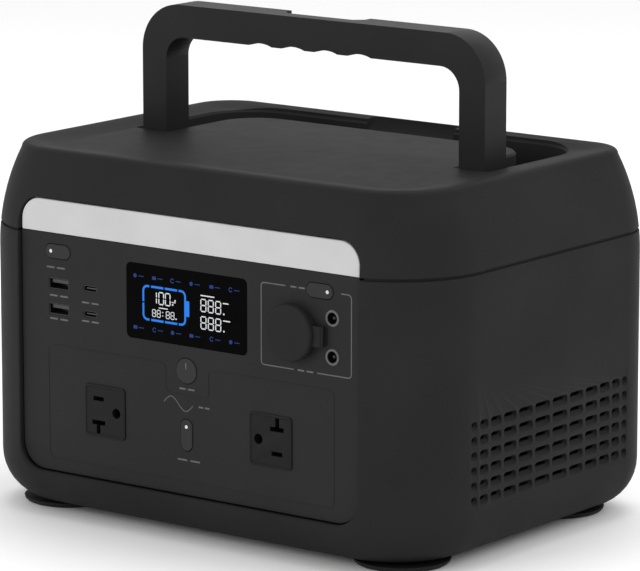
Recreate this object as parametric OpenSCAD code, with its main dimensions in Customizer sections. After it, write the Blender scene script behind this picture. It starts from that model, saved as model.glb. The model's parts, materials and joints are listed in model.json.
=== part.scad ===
// Portable power station: a moulded two-part case around a battery pack and an
// inverter, with a recessed front panel of outlets, a light bar and a folding
// carrying handle. +X is to the right of the front panel, +Y points to the
// rear and +Z is up. The origin is at the centre of the footprint, on the
// surface that the feet stand on. All sizes are in millimetres.

/* [Case] */
// Width of the case
body_w = 300; // [280:1:330]
// Depth of the case
body_d = 220; // [215:1:240]
// Height of the flat top deck above the ground
deck_z = 194; // [192:0.5:198]
// Height of the seam between the lower and the upper shell
seam_z = 151.5; // [150:0.5:153]
// Radius of the two front upright corners
corner_r = 51; // [45:1:52]
// Radius along the bottom edge
bottom_r = 26; // [20:1:28]
// Radius of the inward curve of the upper walls
crown_r = 114; // [100:1:140]
// Wall thickness of the shells
wall = 3; // [2.5:0.5:3.5]

/* [Front panel] */
// Half width of the recessed front panel
panel_hw = 110.3; // [108:0.1:112]
// Height of the front panel's lower edge
panel_z0 = 25.3; // [25:0.1:28]
// Depth of the front panel behind the front of the case
panel_recess = 4.25; // [3.5:0.25:5]
// Height of the light bar
bar_h = 17.4; // [14:0.1:18]
// Width of the display window
display_w = 79; // [70:1:82]
// Height of the display window
display_h = 39.4; // [34:0.2:41]
// Side of the square face of an AC outlet
outlet_side = 27; // [26:0.5:29]
// Radius of the vehicle socket's bore
socket_r = 10.5; // [10.4:0.1:10.6]
// Travel of the push buttons
button_travel = 0.8; // [0.5:0.1:0.8]

/* [Handle] */
// Overall width of the handle
handle_w = 225.4; // [220:1:226]
// Height of the top of the handle above the ground
handle_top = 260.5; // [255:0.5:260.5]
// Width of a leg, which is also the height of the grip
leg_w = 17; // [15:0.5:17]
// Front-to-back thickness of the handle
leg_t = 19; // [17:0.5:19]
// Radius of the outer upper corners of the handle
handle_r = 25; // [24:1:30]

/* [Hidden] */

$fn = 64;
eps = 0.01;
foot_h = 2.8;
foot_x = 110;
foot_y = 69;
foot_r = 25;
foot_recess = 1.6;
base_z = foot_h;
seam_gap = 1.2;
crown_z = seam_z - 11.7;
arc_steps = 10;
rear_tighter = 15;
deck_dish = 2.2;
front_y = -body_d / 2;
panel_y = front_y + panel_recess;
panel_t = 2.5;
panel_back = panel_y + panel_t;
panel_top = seam_z + 0.2;
opening_gap = 0.7;
panel_corner = 14;
bar_z0 = panel_top + 0.2;
bar_corner = 12;
bar_t = 6.6;

// Front controls, as centres across and up the panel
pill_l = 16.6;
pill_h = 7.4;
pill_x = 85.7;
pill_z = 142.4;
power_z = 90.3;
power_r = 6.6;
ac_pill_z = 56.7;
button_gap = 0.35;
button_proud = 0.5;
display_z = 123;
usb_a_x = -85.4;
usb_c_x = -64;
usb_rows = [125.3, 111.9];
outlet_x = 54.5;
outlet_z = 61.5;
socket_x = 69.5;
socket_z = 119.7;
socket_flange_r = 14.2;
socket_len = 52;
cap_r = 14.7;
cap_front = panel_y - 6;
hinge_x = 88.4;
hinge_y = panel_y - 2.1;
strap_h = 10.4;
jack_x = 93.5;
jack_rows = [129.4, 109.7];
jack_r = 4;
board_y = -96;
board_screw_x = [-97, 38];
board_screw_z = [90.5, 147.5];
board_t = 1.6;

// Handle: the leg's outer face, inner face and the pivot
leg_out = handle_w / 2;
leg_in = leg_out - leg_w + 0.7;
leg_front = -3.25;
leg_back = leg_front + leg_t;
grip_z = handle_top - leg_w - 0.5;
inner_r = 12;
pivot_y = leg_front + leg_t / 2;
pivot_z = deck_z - deck_dish - leg_t / 2 - 0.3;
hub_r = leg_t / 2 - 0.3;
pin_r = 3;
bush_r = 4.5;
bush_clear = 0.04;
groove_pitch = 21.7;
groove_r = 20;
groove_depth = 1.5;

// Channel in the deck that takes the folded handle
channel_out = leg_out + 2.8;
channel_in = leg_in - 1.2;
channel_front = leg_front - 1;
channel_back = pivot_y + handle_top - pivot_z + 1;
platform_back = pivot_y + grip_z - pivot_z - 1;
channel_floor = pivot_z - leg_t / 2 - 1;
channel_wall = 2.5;
channel_corner = 28;
platform_corner = 24;
scoop_hw = 25;

// Screw posts that join the two shells
post_x = 118;
post_y = 78;
post_r = 5.2;
plate_post_x = 106;
plate_post_rows = [-48, 88];
board_post_x = 92;
board_post_rows = [-34, 66];
shell_screw_r = 2;
shell_screw_seat = 132.5;

// Ventilation field on each side wall: the slots narrow towards both ends
vent_rows = 6;
vent_half = 6;
vent_pitch_z = 7.73;
vent_top_z = 76.6;
vent_h = 5;
vent_gap = 2.2;
vent_mid_y = 4.5;
grille_y0 = vent_mid_y - 71;
grille_l = 142;
grille_z0 = 30.1;
grille_h = 49;
function vent_w(k) = 13.3 - 0.9 * k - 0.16 * k * k;
function vent_y(k) = k == 0 ? (vent_w(0) + vent_gap) / 2
                   : vent_y(k - 1) + (vent_w(k) + vent_w(k - 1)) / 2 + vent_gap;

// Battery: six columns of four cells, each column joined by its own strips
cell_r = 16;
cell_h = 70;
cell_pitch = 33.4;
cell_cols = 6;
cell_rows = 4;
cell_z = 86.5;
lead_z = 24.5;
pack_y = 35;
holder_h = 6;
link_t = 0.4;
lead_x = 90;
lead_y = -45;
plate_z = 78.5;
plate_t = 2.5;
inverter_z = base_z + 15;

// Fans behind the ventilation fields
fan_side = 56;
fan_t = 15;
fan_x = 130.5;
fan_y = 4.5;
fan_z = 50.5;
fan_bore_r = 26;
rotor_r = 25;
rotor_hub_r = 11;
fan_shaft_r = 1.5;

// Rear input panel
input_w = 130;
input_h = 46;
input_z = 56.5;
input_y = body_d / 2 - 2;
inlet_x = -32;
dc_in_x = 18;
breaker_x = 46;

// ---------------------------------------------------------------- helpers

// Outline of the case, centred on the origin: the rear corners are the tighter ones
function round_rect(w, d, r) =
    [for (k = [0:3], j = [0:arc_steps])
        let (a = 90 * k + 90 * j / arc_steps,
             q = k < 2 ? r - rear_tighter : r,
             cx = (k == 0 || k == 3 ? 1 : -1) * (w / 2 - q),
             cy = (k < 2 ? 1 : -1) * (d / 2 - q))
        [cx + q * cos(a), cy + q * sin(a)]];

// How far the outer wall stands in from the widest outline at height z
function wall_inset(z) =
    z < base_z + bottom_r ? bottom_r - sqrt(pow(bottom_r, 2) - pow(base_z + bottom_r - z, 2))
    : z > crown_z ? crown_r - sqrt(pow(crown_r, 2) - pow(z - crown_z, 2)) : 0;

function bottom_levels(steps) = [for (i = [0:steps]) base_z + bottom_r * (1 - cos(90 * i / steps))];

// One level of the case outline, drawn in by the given amount
module outline_slice(z, inward = 0) {
    i = wall_inset(z) + inward;
    translate([0, 0, z])
        linear_extrude(eps) polygon(round_rect(body_w - 2 * i, body_d - 2 * i, corner_r - i));
}

// Flat rounded bar or plate, standing in the XZ plane and extruded along +Y
module plate_xz(w, h, r, t) {
    rotate([90, 0, 0])
        translate([0, 0, -t])
            linear_extrude(t) rounded_square(w, h, r);
}

module rounded_square(w, h, r) {
    square([w - 2 * r, h], center = true);
    square([w, h - 2 * r], center = true);
    for (sx = [-1, 1], sz = [-1, 1])
        translate([sx * (w / 2 - r), sz * (h / 2 - r)]) circle(r);
}

// Cylinder along +Y
module rod_y(r, l) {
    rotate([-90, 0, 0]) cylinder(r = r, h = l);
}

// Cylinder along +X
module rod_x(r, l) {
    rotate([0, 90, 0]) cylinder(r = r, h = l);
}

module mirror_x() {
    children();
    mirror([1, 0, 0]) children();
}

module four_corners(x, y) {
    for (sx = [-1, 1], sy = [-1, 1]) translate([sx * x, sy * y, 0]) children();
}

// ---------------------------------------------------------------- case

// Outline with round corners at the bottom only, from height z0 up to z1
function tray_outline(hw, z0, z1, r) = concat(
    [[hw, z1], [-hw, z1]],
    [for (j = [0:6]) [-hw + r - r * cos(15 * j), z0 + r - r * sin(15 * j)]],
    [for (j = [6:-1:0]) [hw - r + r * cos(15 * j), z0 + r - r * sin(15 * j)]]);

module panel_opening() {
    translate([0, front_y + 7, 0])
        rotate([90, 0, 0])
            linear_extrude(12)
                polygon(tray_outline(panel_hw + opening_gap, panel_z0 - opening_gap, seam_z + 5,
                                     panel_corner + opening_gap));
}

module bar_opening() {
    translate([0, front_y - 5, 0])
        rotate([90, 0, 0])
            translate([0, 0, -20])
                linear_extrude(20)
                    translate([0, bar_z0 + bar_h + opening_gap - 25])
                        rounded_square(2 * (panel_hw + opening_gap), 50, bar_corner + opening_gap);
}

// Rows of slots through the right side wall
module vent_slots() {
    for (k = [0:vent_half - 1], side = [-1, 1], r = [0:vent_rows - 1])
        translate([body_w / 2 - 12, vent_mid_y + side * vent_y(k) - vent_w(k) / 2,
                   vent_top_z - vent_pitch_z * r - vent_h])
            cube([30, vent_w(k), vent_h]);
}

// Window in the right side wall that the grille fills
module grille_window() {
    translate([body_w / 2 - 12, grille_y0, grille_z0]) cube([30, grille_l, grille_h]);
}

module vent_grille() {
    difference() {
        translate([0, 0, grille_z0])
            linear_extrude(grille_h)
                intersection() {
                    difference() {
                        polygon(round_rect(body_w, body_d, corner_r));
                        polygon(round_rect(body_w - 2 * wall, body_d - 2 * wall, corner_r - wall));
                    }
                    translate([body_w / 2 - 12, grille_y0]) square([30, grille_l]);
                }
        vent_slots();
    }
}

module vent_grille_right() {
    color([0.12, 0.12, 0.125]) vent_grille();
}

module vent_grille_left() {
    color([0.12, 0.12, 0.125]) mirror([1, 0, 0]) vent_grille();
}

module post_positions() {
    four_corners(post_x, post_y) children();
}

module plate_posts() {
    for (sx = [-1, 1], y = plate_post_rows) translate([sx * plate_post_x, y, 0]) children();
}

module board_posts() {
    for (sx = [-1, 1], y = board_post_rows) translate([sx * board_post_x, y, 0]) children();
}

module wall_ring() {
    difference() {
        polygon(round_rect(body_w, body_d, corner_r));
        polygon(round_rect(body_w - 2 * wall, body_d - 2 * wall, corner_r - wall));
    }
}

// The rounded tray at the bottom of the lower shell
module shell_bowl() {
    difference() {
        hull() for (z = bottom_levels(6)) outline_slice(z > base_z + bottom_r - 1 ? z - eps : z);
        hull()
            for (z = bottom_levels(6))
                translate([0, 0, z < base_z + 12 ? wall : 0]) outline_slice(z, wall);
    }
}

// The upright walls, with a window on each side for the grilles
module shell_walls() {
    difference() {
        translate([0, 0, base_z + bottom_r]) linear_extrude(crown_z - base_z - bottom_r) wall_ring();
        mirror_x() grille_window();
    }
}

// The start of the inward curve, up to the seam
module shell_rim() {
    difference() {
        hull() {
            outline_slice(crown_z);
            outline_slice(seam_z - seam_gap / 2 - eps);
        }
        hull() {
            translate([0, 0, -1]) outline_slice(crown_z, wall);
            translate([0, 0, 2]) outline_slice(seam_z, wall);
        }
    }
}

module lower_shell() {
    color([0.12, 0.12, 0.125])
    difference() {
        union() {
            shell_bowl();
            shell_walls();
            shell_rim();
            post_positions()
                translate([0, 0, base_z + wall])
                    cylinder(r = post_r, h = seam_z - seam_gap / 2 - base_z - wall);
            plate_posts() translate([0, 0, base_z + 1]) cylinder(r = 4, h = plate_z - base_z - 1);
            board_posts() translate([0, 0, base_z + 1]) cylinder(r = 3.5, h = inverter_z - base_z - 1);
        }
        panel_opening();
        post_positions() {
            translate([0, 0, base_z - 1]) cylinder(r = 3.9, h = shell_screw_seat - base_z + 1);
            cylinder(r = shell_screw_r + 0.2, h = seam_z);
        }
        translate([0, body_d / 2 - 12, input_z]) plate_xz(input_w + 0.6, input_h + 0.6, 6.3, 20);
        foot_positions() translate([0, 0, base_z - 1]) cylinder(r = 1.4, h = 9);
    }
}

// Channel outline seen from above, grown by g on every wall
module channel_outline(g = 0) {
    difference() {
        union() {
            translate([0, (channel_front + channel_back) / 2])
                rounded_square(2 * (channel_out + g), channel_back - channel_front + 2 * g,
                               channel_corner + g);
            translate([-channel_out - g, channel_front - g])
                square([2 * (channel_out + g), 40 + g]);
        }
        translate([0, platform_back - 60 - g]) rounded_square(2 * (channel_in - g), 120, platform_corner - g);
        translate([-channel_in + g, -60]) square([2 * (channel_in - g), 90]);
    }
}

module finger_scoop() {
    // Hollow in the rear rim behind the middle of the folded grip
    translate([0, channel_back - 1, deck_z - deck_dish + 4])
        intersection() {
            rotate([0, 90, 0]) cylinder(r = 12, h = 2 * scoop_hw, center = true);
            translate([-scoop_hw, -2, -14]) cube([2 * scoop_hw, 8, 20]);
        }
}

module upper_shell() {
    color([0.2, 0.2, 0.205])
    difference() {
        union() {
            difference() {
                hull() {
                    for (z = [seam_z + seam_gap / 2, seam_z + 12, seam_z + 23, seam_z + 33]) outline_slice(z);
                    translate([0, 0, -eps]) outline_slice(deck_z);
                }
                difference() {
                    hull() {
                        translate([0, 0, -2]) outline_slice(seam_z, wall);
                        for (z = [seam_z + 12, seam_z + 24]) outline_slice(z, wall);
                        translate([0, 0, -wall - deck_dish]) outline_slice(deck_z, wall);
                    }
                    translate([0, 0, channel_floor - channel_wall])
                        linear_extrude(deck_z - channel_floor) channel_outline(channel_wall);
                }
            }
            post_positions()
                translate([0, 0, seam_z + seam_gap / 2]) cylinder(r = post_r, h = deck_z - seam_z - 5);
        }
        hull() {
            translate([0, 0, eps]) outline_slice(deck_z, 3);
            translate([0, 0, -deck_dish]) outline_slice(deck_z, 22);
        }
        translate([0, 0, channel_floor]) linear_extrude(30) channel_outline();
        finger_scoop();
        bar_opening();
        post_positions() cylinder(r = shell_screw_r, h = seam_z + 18);
        mirror_x() translate([channel_in - 6, pivot_y, pivot_z]) rod_x(pin_r, 34);
    }
}

module seam_gasket() {
    color([0.02, 0.02, 0.02])
    translate([0, 0, seam_z - seam_gap / 2])
        linear_extrude(seam_gap)
            difference() {
                polygon(round_rect(body_w - 4, body_d - 4, corner_r - 2));
                polygon(round_rect(body_w - 9, body_d - 9, corner_r - 4.5));
                translate([-panel_hw - 3, front_y - 1]) square([2 * panel_hw + 6, 20]);
            }
}

module foot_positions() {
    four_corners(foot_x, foot_y) children();
}

module feet() {
    // Flared rubber feet with a central screw recess
    color([0.1, 0.1, 0.1])
    foot_positions()
        difference() {
            rotate_extrude()
                polygon([[0, 0], [foot_r - 3, 0], [foot_r - 1.4, 0.5], [foot_r - 0.4, 1.4],
                         [foot_r, foot_h], [0, foot_h]]);
            translate([0, 0, -1]) cylinder(r = 4, h = foot_recess + 1);
            cylinder(r = 1.6, h = 10);
        }
}

module foot_screws() {
    color("silver")
    foot_positions() {
        translate([0, 0, foot_recess - 1.4]) cylinder(r = 3, h = 1.4);
        translate([0, 0, foot_recess - eps]) cylinder(r = 1.4, h = 10);
    }
}

module shell_screws() {
    color("silver")
    post_positions() {
        translate([0, 0, shell_screw_seat - 2.4]) cylinder(r = 3.5, h = 2.4);
        translate([0, 0, shell_screw_seat - eps])
            cylinder(r = shell_screw_r, h = seam_z + 14 - shell_screw_seat);
    }
}

// ---------------------------------------------------------------- front panel

module pill(l, h, t) {
    plate_xz(l, h, h / 2 - 0.01, t);
}

module car_socket_hole(r, y0, l) {
    translate([socket_x, y0, socket_z]) rod_y(r, l);
}

module at_outlets() {
    for (sx = [-1, 1]) translate([sx * outlet_x, 0, outlet_z]) children();
}

module at_rows(x, rows) {
    for (z = rows) translate([x, 0, z]) children();
}

module front_panel() {
    panel_h = panel_top - panel_z0;
    color([0.17, 0.17, 0.175])
    difference() {
        union() {
            translate([0, panel_y, panel_z0 + 45]) plate_xz(2 * panel_hw, 90, panel_corner, panel_t);
            translate([-panel_hw, panel_y, panel_z0 + 45]) cube([2 * panel_hw, panel_t, panel_h - 45]);
            // side flanges that sit behind the edges of the opening
            for (x = [-panel_hw - 2.5, panel_hw - 4])
                translate([x, panel_y + 0.8, panel_z0 + 20]) cube([6.5, panel_t - 0.8, panel_h - 21]);
            // bosses for the control board
            for (x = board_screw_x, z = board_screw_z)
                translate([x, panel_back - eps, z]) rod_y(2.6, board_y - panel_back + eps);
        }
        for (x = board_screw_x, z = board_screw_z) translate([x, panel_back, z]) rod_y(1.2, 20);
        translate([0, panel_y - 1, display_z]) plate_xz(display_w + 0.2, display_h + 0.2, 3.1, 2.4);
        translate([0, panel_y - 1, display_z]) plate_xz(display_w - 5, display_h - 5, 2, 10);
        for (sx = [-1, 1])
            translate([sx * pill_x, panel_y - 1, pill_z])
                pill(pill_l + 2 * button_gap, pill_h + 2 * button_gap, 10);
        translate([0, panel_y - 1, ac_pill_z])
            rotate([0, 90, 0]) pill(pill_l + 2 * button_gap, pill_h + 2 * button_gap, 10);
        translate([0, panel_y - 1, power_z]) rod_y(power_r + button_gap, 10);
        at_rows(usb_a_x, usb_rows) translate([0, panel_y - 1, 0]) plate_xz(13.4, 6, 0.6, 10);
        at_rows(usb_c_x, usb_rows) translate([0, panel_y - 1, 0]) pill(9.4, 3.6, 10);
        at_outlets() translate([0, panel_y - 1, 0]) plate_xz(outlet_side + 0.4, outlet_side + 0.4, 2.2, 10);
        car_socket_hole(13, panel_y - 1, 10);
        at_rows(jack_x, jack_rows) translate([0, panel_y - 1, 0]) rod_y(jack_r, 10);
        translate([88.5, panel_y - 1, socket_z - 4.7]) cube([1.8, 10, 9.4]);
    }
}

module light_bar() {
    // Diffuser with a flange that sits behind the front wall
    color([0.92, 0.92, 0.92])
    translate([0, panel_y, bar_z0])
        difference() {
            union() {
                translate([0, 0, bar_h - 20]) plate_xz(2 * panel_hw, 40, bar_corner, bar_t);
                translate([0, bar_t - 1.6, bar_h - 18.5]) plate_xz(2 * panel_hw + 2.6, 40, bar_corner, 1.6);
            }
            translate([-panel_hw - 5, -1, -40]) cube([2 * panel_hw + 10, bar_t + 2, 40]);
            translate([0, 2, bar_h / 2]) plate_xz(2 * panel_hw - 16, bar_h - 7, 3, bar_t);
        }
}

module light_board() {
    color("white")
    translate([0, panel_y + bar_t, bar_z0 + bar_h / 2]) {
        plate_xz(2 * panel_hw - 10, 11, 1, 1.6);
        for (i = [-9:9]) translate([11 * i, -1, 0]) plate_xz(3.5, 2.8, 0.3, 1 + eps);
    }
}

module display_window() {
    color([0.02, 0.02, 0.03])
    translate([0, panel_y - 0.1, display_z]) plate_xz(display_w, display_h, 3, 1.45);
}

module display_module() {
    color([0.1, 0.2, 0.3])
    translate([0, panel_back + 0.1, display_z]) plate_xz(display_w - 1, display_h - 1, 1, 4.5);
}

// A push button: the cap, a retaining collar behind the panel and a stem
module push_button(l, h) {
    translate([0, panel_y - button_proud, 0]) pill(l, h, panel_t + button_proud + 0.1);
    translate([0, panel_back + 0.1, 0]) pill(l + 3, h + 3, 1);
    translate([0, panel_back + 1, 0]) rod_y(1.5, 3);
}

module power_button() {
    color([0.18, 0.18, 0.185])
    translate([0, 0, power_z]) {
        translate([0, panel_y - button_proud, 0]) rod_y(power_r, panel_t + button_proud + 0.1);
        translate([0, panel_back + 0.1, 0]) rod_y(power_r + 1.5, 1);
        translate([0, panel_back + 1, 0]) rod_y(1.5, 3);
    }
}

module ac_button() {
    color([0.18, 0.18, 0.185])
    translate([0, 0, ac_pill_z]) rotate([0, 90, 0]) push_button(pill_l, pill_h);
}

module dc_button() {
    color([0.18, 0.18, 0.185])
    translate([pill_x, 0, pill_z]) push_button(pill_l, pill_h);
}

module light_button() {
    color([0.18, 0.18, 0.185])
    translate([-pill_x, 0, pill_z]) push_button(pill_l, pill_h);
}

button_places = [[0, power_z], [0, ac_pill_z], [pill_x, pill_z], [-pill_x, pill_z]];

module tact_switches() {
    stem_end = panel_back + 4;
    color("dimgray")
    for (p = button_places) translate([p[0], 0, p[1]]) {
        translate([0, stem_end + button_travel + 0.2, 0]) rod_y(1.7, 0.7);
        translate([0, stem_end + button_travel + 0.8, 0])
            plate_xz(6, 6, 0.5, board_y - stem_end - button_travel - 0.8);
    }
}

module control_board() {
    color([0.03, 0.25, 0.12])
    translate([0, board_y, 0])
        rotate([90, 0, 0])
            translate([0, 0, -board_t])
                linear_extrude(board_t)
                    difference() {
                        union() {
                            translate([-100, 82.5]) square([146, 68]);
                            translate([-20, 46.5]) square([40, 40]);
                            translate([40, 137.5]) square([57, 13]);
                        }
                        for (x = board_screw_x, z = board_screw_z) translate([x, z]) circle(1.5);
                    }
}

module board_screws() {
    color("silver")
    for (x = board_screw_x, z = board_screw_z) translate([x, 0, z]) {
        translate([0, board_y + board_t, 0]) rod_y(2.6, 1.6);
        translate([0, board_y - 5, 0]) rod_y(1.2, 5 + board_t + eps);
    }
}

module usb_a_ports() {
    // Drawn steel shells with the blue contact tongue inside
    color("silver")
    at_rows(usb_a_x, usb_rows) {
        difference() {
            translate([0, panel_y + 0.3, 0]) plate_xz(13.1, 5.7, 0.5, board_y - panel_y - 0.3);
            translate([0, panel_y - 1, 0]) plate_xz(12.5, 5.1, 0.3, 9);
        }
        translate([0, panel_y + 1.5, 1.1]) plate_xz(11, 1.8, 0.2, 7);
    }
}

module usb_c_ports() {
    color("silver")
    at_rows(usb_c_x, usb_rows) {
        difference() {
            translate([0, panel_y + 0.3, 0]) pill(9, 3.2, board_y - panel_y - 0.3);
            translate([0, panel_y - 1, 0]) pill(8.4, 2.6, 7.5);
        }
        translate([0, panel_y + 1.2, 0]) plate_xz(6.7, 0.7, 0.2, 6);
    }
}

module car_socket() {
    // Chromed liner with a flange on the panel and a closed rear end
    color([0.75, 0.75, 0.77])
    difference() {
        union() {
            car_socket_hole(socket_flange_r, panel_y - 1.5, 1.5);
            car_socket_hole(12.8, panel_y - eps, socket_len - 1.5);
            car_socket_hole(15.5, panel_back, 3);
        }
        car_socket_hole(socket_r, panel_y - 2, 38);
        car_socket_hole(6, panel_y + 35, 8);
        car_socket_hole(3.5, panel_y, socket_len + 5);
    }
}

module car_socket_contact() {
    color("goldenrod")
    union() {
        car_socket_hole(2.4, panel_y + 37, 18);
        car_socket_hole(4.5, panel_y + 37, 2);
        car_socket_hole(5.5, panel_y + socket_len - 1.5, 1.5);
    }
}

module car_socket_cap() {
    // Soft cap that closes over the flange, and the strap that it swings on
    color([0.14, 0.14, 0.145])
    difference() {
        union() {
            translate([socket_x, cap_front, socket_z])
                rotate([-90, 0, 0])
                    rotate_extrude()
                        polygon([[0, 0], [cap_r - 1.6, 0], [cap_r - 0.5, 0.5], [cap_r, 1.6], [cap_r, 4.2],
                                 [0, 4.2]]);
            translate([socket_x + cap_r - 2, cap_front + 2.4, socket_z - strap_h / 2])
                cube([hinge_x - socket_x - cap_r + 2, 1.6, strap_h]);
            translate([hinge_x, hinge_y, socket_z - strap_h / 2]) cylinder(r = 1.2, h = strap_h);
        }
        translate([socket_x, cap_front + 2, socket_z]) rod_y(cap_r - 2.4, 6);
    }
}

module cap_anchor() {
    // Tail of the strap, pushed through a slot in the panel
    color([0.1, 0.1, 0.1])
    translate([0, 0, socket_z]) {
        translate([88.6, panel_y - 0.6, -4.6]) cube([1.6, panel_t + 2.6, 9.2]);
        translate([87.6, panel_back, -4.6]) cube([3.4, 2, 9.2]);
    }
}

module dc_jacks() {
    color([0.08, 0.08, 0.08])
    at_rows(jack_x, jack_rows) {
        difference() {
            union() {
                translate([0, panel_y - 0.2, 0]) rod_y(jack_r, 12);
                translate([-4.8, panel_back, -4.8]) cube([9.6, 12, 9.6]);
            }
            translate([0, panel_y - 1, 0]) rod_y(2.8, 11);
        }
        translate([0, panel_y + 1.5, 0]) rod_y(1.05, 9);
    }
}

// Openings of one outlet, drawn with the ground hole to the right
module outlet_slots(depth) {
    blade_x = -4.2;
    translate([0, -1, 0]) {
        translate([blade_x, 0, 6.35]) plate_xz(7, 2.3, 0.2, depth + 1);
        translate([blade_x, 0, -6.35]) plate_xz(8.8, 2.4, 0.2, depth + 1);
        translate([blade_x - 0.2, 0, -8.9]) plate_xz(2.5, 6.6, 0.2, depth + 1);
        translate([7.7, 0, 0]) rod_y(2.7, depth + 1);
    }
}

module ac_outlet() {
    difference() {
        union() {
            translate([0, panel_y - 0.4, 0]) plate_xz(outlet_side, outlet_side, 2, panel_t + 0.5);
            translate([0, panel_back, 0]) plate_xz(33, 36, 2, 26);
        }
        translate([0, panel_y - 0.4, 0]) outlet_slots(18);
    }
}

module ac_outlet_left() {
    color([0.05, 0.05, 0.05])
    translate([-outlet_x, 0, outlet_z]) ac_outlet();
}

module ac_outlet_right() {
    color([0.05, 0.05, 0.05])
    translate([outlet_x, 0, outlet_z]) rotate([0, 180, 0]) ac_outlet();
}

module contact_leaves() {
    // Brass leaves lie at the bottom of each opening
    y = panel_y + 13;
    translate([-4.2, y, 6.35]) plate_xz(6, 2, 0.2, 3);
    translate([-4.2, y, -6.35]) plate_xz(6, 2, 0.2, 3);
    translate([7.7, y, 0]) rod_y(2.2, 3);
}

module outlet_contacts() {
    color("goldenrod") {
        translate([-outlet_x, 0, outlet_z]) contact_leaves();
        translate([outlet_x, 0, outlet_z]) rotate([0, 180, 0]) contact_leaves();
    }
}

// ---------------------------------------------------------------- handle

module handle_outline() {
    difference() {
        union() {
            translate([0, handle_top - 60]) rounded_square(handle_w, 120, handle_r);
            translate([-leg_out, pivot_z]) square([handle_w, 40]);
        }
        translate([0, grip_z - 60]) rounded_square(2 * leg_in, 120, inner_r);
        translate([-leg_in, pivot_z - 60]) square([2 * leg_in, 90]);
        translate([-leg_out - 1, 0]) square([handle_w + 2, pivot_z]);
        for (i = [-1.5:1.5])
            translate([i * groove_pitch, grip_z + groove_depth - groove_r]) circle(groove_r);
    }
}

module thumb_relief() {
    // Hollow along the rear edge of the grip, with tapered ends
    translate([0, leg_back + 2.3, handle_top + 2.4])
        rotate([0, 90, 0]) {
            cylinder(r = 12, h = 42, center = true);
            for (m = [0, 1]) mirror([0, 0, m]) translate([0, 0, 21]) cylinder(r1 = 12, r2 = 8, h = 5);
        }
}

module handle() {
    color([0.16, 0.16, 0.165])
    difference() {
        union() {
            rotate([90, 0, 0]) translate([0, 0, -leg_back]) linear_extrude(leg_t) handle_outline();
            mirror_x() translate([leg_in, pivot_y, pivot_z]) rod_x(hub_r, leg_out - leg_in);
        }
        thumb_relief();
        mirror_x() translate([leg_in - 1, pivot_y, pivot_z]) rod_x(bush_r, leg_out - leg_in + 2);
    }
}

module handle_bushes() {
    color("ivory")
    mirror_x()
        translate([leg_in, pivot_y, pivot_z])
            difference() {
                rod_x(bush_r, leg_out - leg_in);
                translate([-1, 0, 0]) rod_x(pin_r + bush_clear, leg_out - leg_in + 2);
            }
}

module handle_pins() {
    color("silver")
    mirror_x()
        translate([channel_in - channel_wall - 2, pivot_y, pivot_z]) {
            rod_x(pin_r, channel_out - channel_in + 2 * channel_wall + 3);
            translate([-1, 0, 0]) rod_x(pin_r + 1.5, 2);
        }
}

// ---------------------------------------------------------------- battery

function column_x(c) = (c - (cell_cols - 1) / 2) * cell_pitch;

module at_cells() {
    for (c = [0:cell_cols - 1], r = [0:cell_rows - 1])
        translate([column_x(c), pack_y + (r - (cell_rows - 1) / 2) * cell_pitch, 0])
            children();
}

module battery_cells() {
    color([0.1, 0.35, 0.6])
    at_cells() translate([0, 0, cell_z]) cylinder(r = cell_r, h = cell_h, $fn = 32);
}

module cell_holder() {
    linear_extrude(holder_h)
        difference() {
            translate([0, pack_y]) rounded_square(cell_cols * cell_pitch + 4, cell_rows * cell_pitch + 4, 4);
            at_cells() circle(cell_r + 0.05, $fn = 32);
        }
}

module cell_holder_lower() {
    color([0.15, 0.15, 0.15]) translate([0, 0, cell_z]) cell_holder();
}

module cell_holder_upper() {
    color([0.15, 0.15, 0.15]) translate([0, 0, cell_z + cell_h - holder_h]) cell_holder();
}

module cell_links() {
    // Nickel strips join the four cells of each column, on the top and the bottom
    color("silver")
    for (z = [cell_z - link_t, cell_z + cell_h], c = [0:cell_cols - 1])
        translate([column_x(c) - 5, pack_y - 1.8 * cell_pitch, z])
            cube([10, 3.6 * cell_pitch, link_t]);
}

module battery_board() {
    color([0.03, 0.25, 0.12])
    difference() {
        translate([-60, pack_y - 30, cell_z + cell_h + 4]) cube([120, 60, 1.6]);
        for (sx = [-1, 1]) translate([sx * 54, pack_y, 0]) cylinder(r = 1.6, h = 200);
    }
}

module mid_plate() {
    color([0.6, 0.6, 0.62])
    difference() {
        translate([-112, -56, plate_z]) cube([224, 152, plate_t]);
        plate_posts() cylinder(r = 2.1, h = 200);
        for (x = [-lead_x, lead_x]) translate([x, lead_y, plate_z - 1]) cylinder(r = 6, h = 10);
    }
}

module battery_leads() {
    // Two heavy leads go down through the plate to the inverter board
    color("firebrick")
    for (x = [-lead_x, lead_x])
        translate([x, lead_y, lead_z]) {
            cylinder(r = 2.5, h = 100);
            translate([0, 8, 100])
                rotate([90, 0, -90]) rotate_extrude(angle = 90) translate([8, 0]) circle(2.5);
        }
}

// ---------------------------------------------------------------- inverter

module inverter_board() {
    color([0.03, 0.25, 0.12])
    difference() {
        translate([-100, -42, inverter_z]) cube([200, 116, 1.6]);
        board_posts() cylinder(r = 1.6, h = 100);
    }
}

module fins(n, l) {
    cube([l, 4 * n, 3]);
    for (i = [0:n - 1]) translate([0, 4 * i, 0]) cube([l, 1.4, 34]);
}

module heat_sinks() {
    // Extruded fins run from fan to fan, in line with the air stream
    color("silver") {
        translate([-80, -33, inverter_z + 6]) fins(6, 160);
        translate([-80, 38, inverter_z + 6]) fins(6, 160);
    }
}

module power_transistors() {
    color([0.08, 0.08, 0.08])
    for (x = [-70:20:70], y = [-39, 66])
        translate([x - 7.5, y - 1.5, inverter_z + 2]) cube([15, 5, 20]);
}

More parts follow.
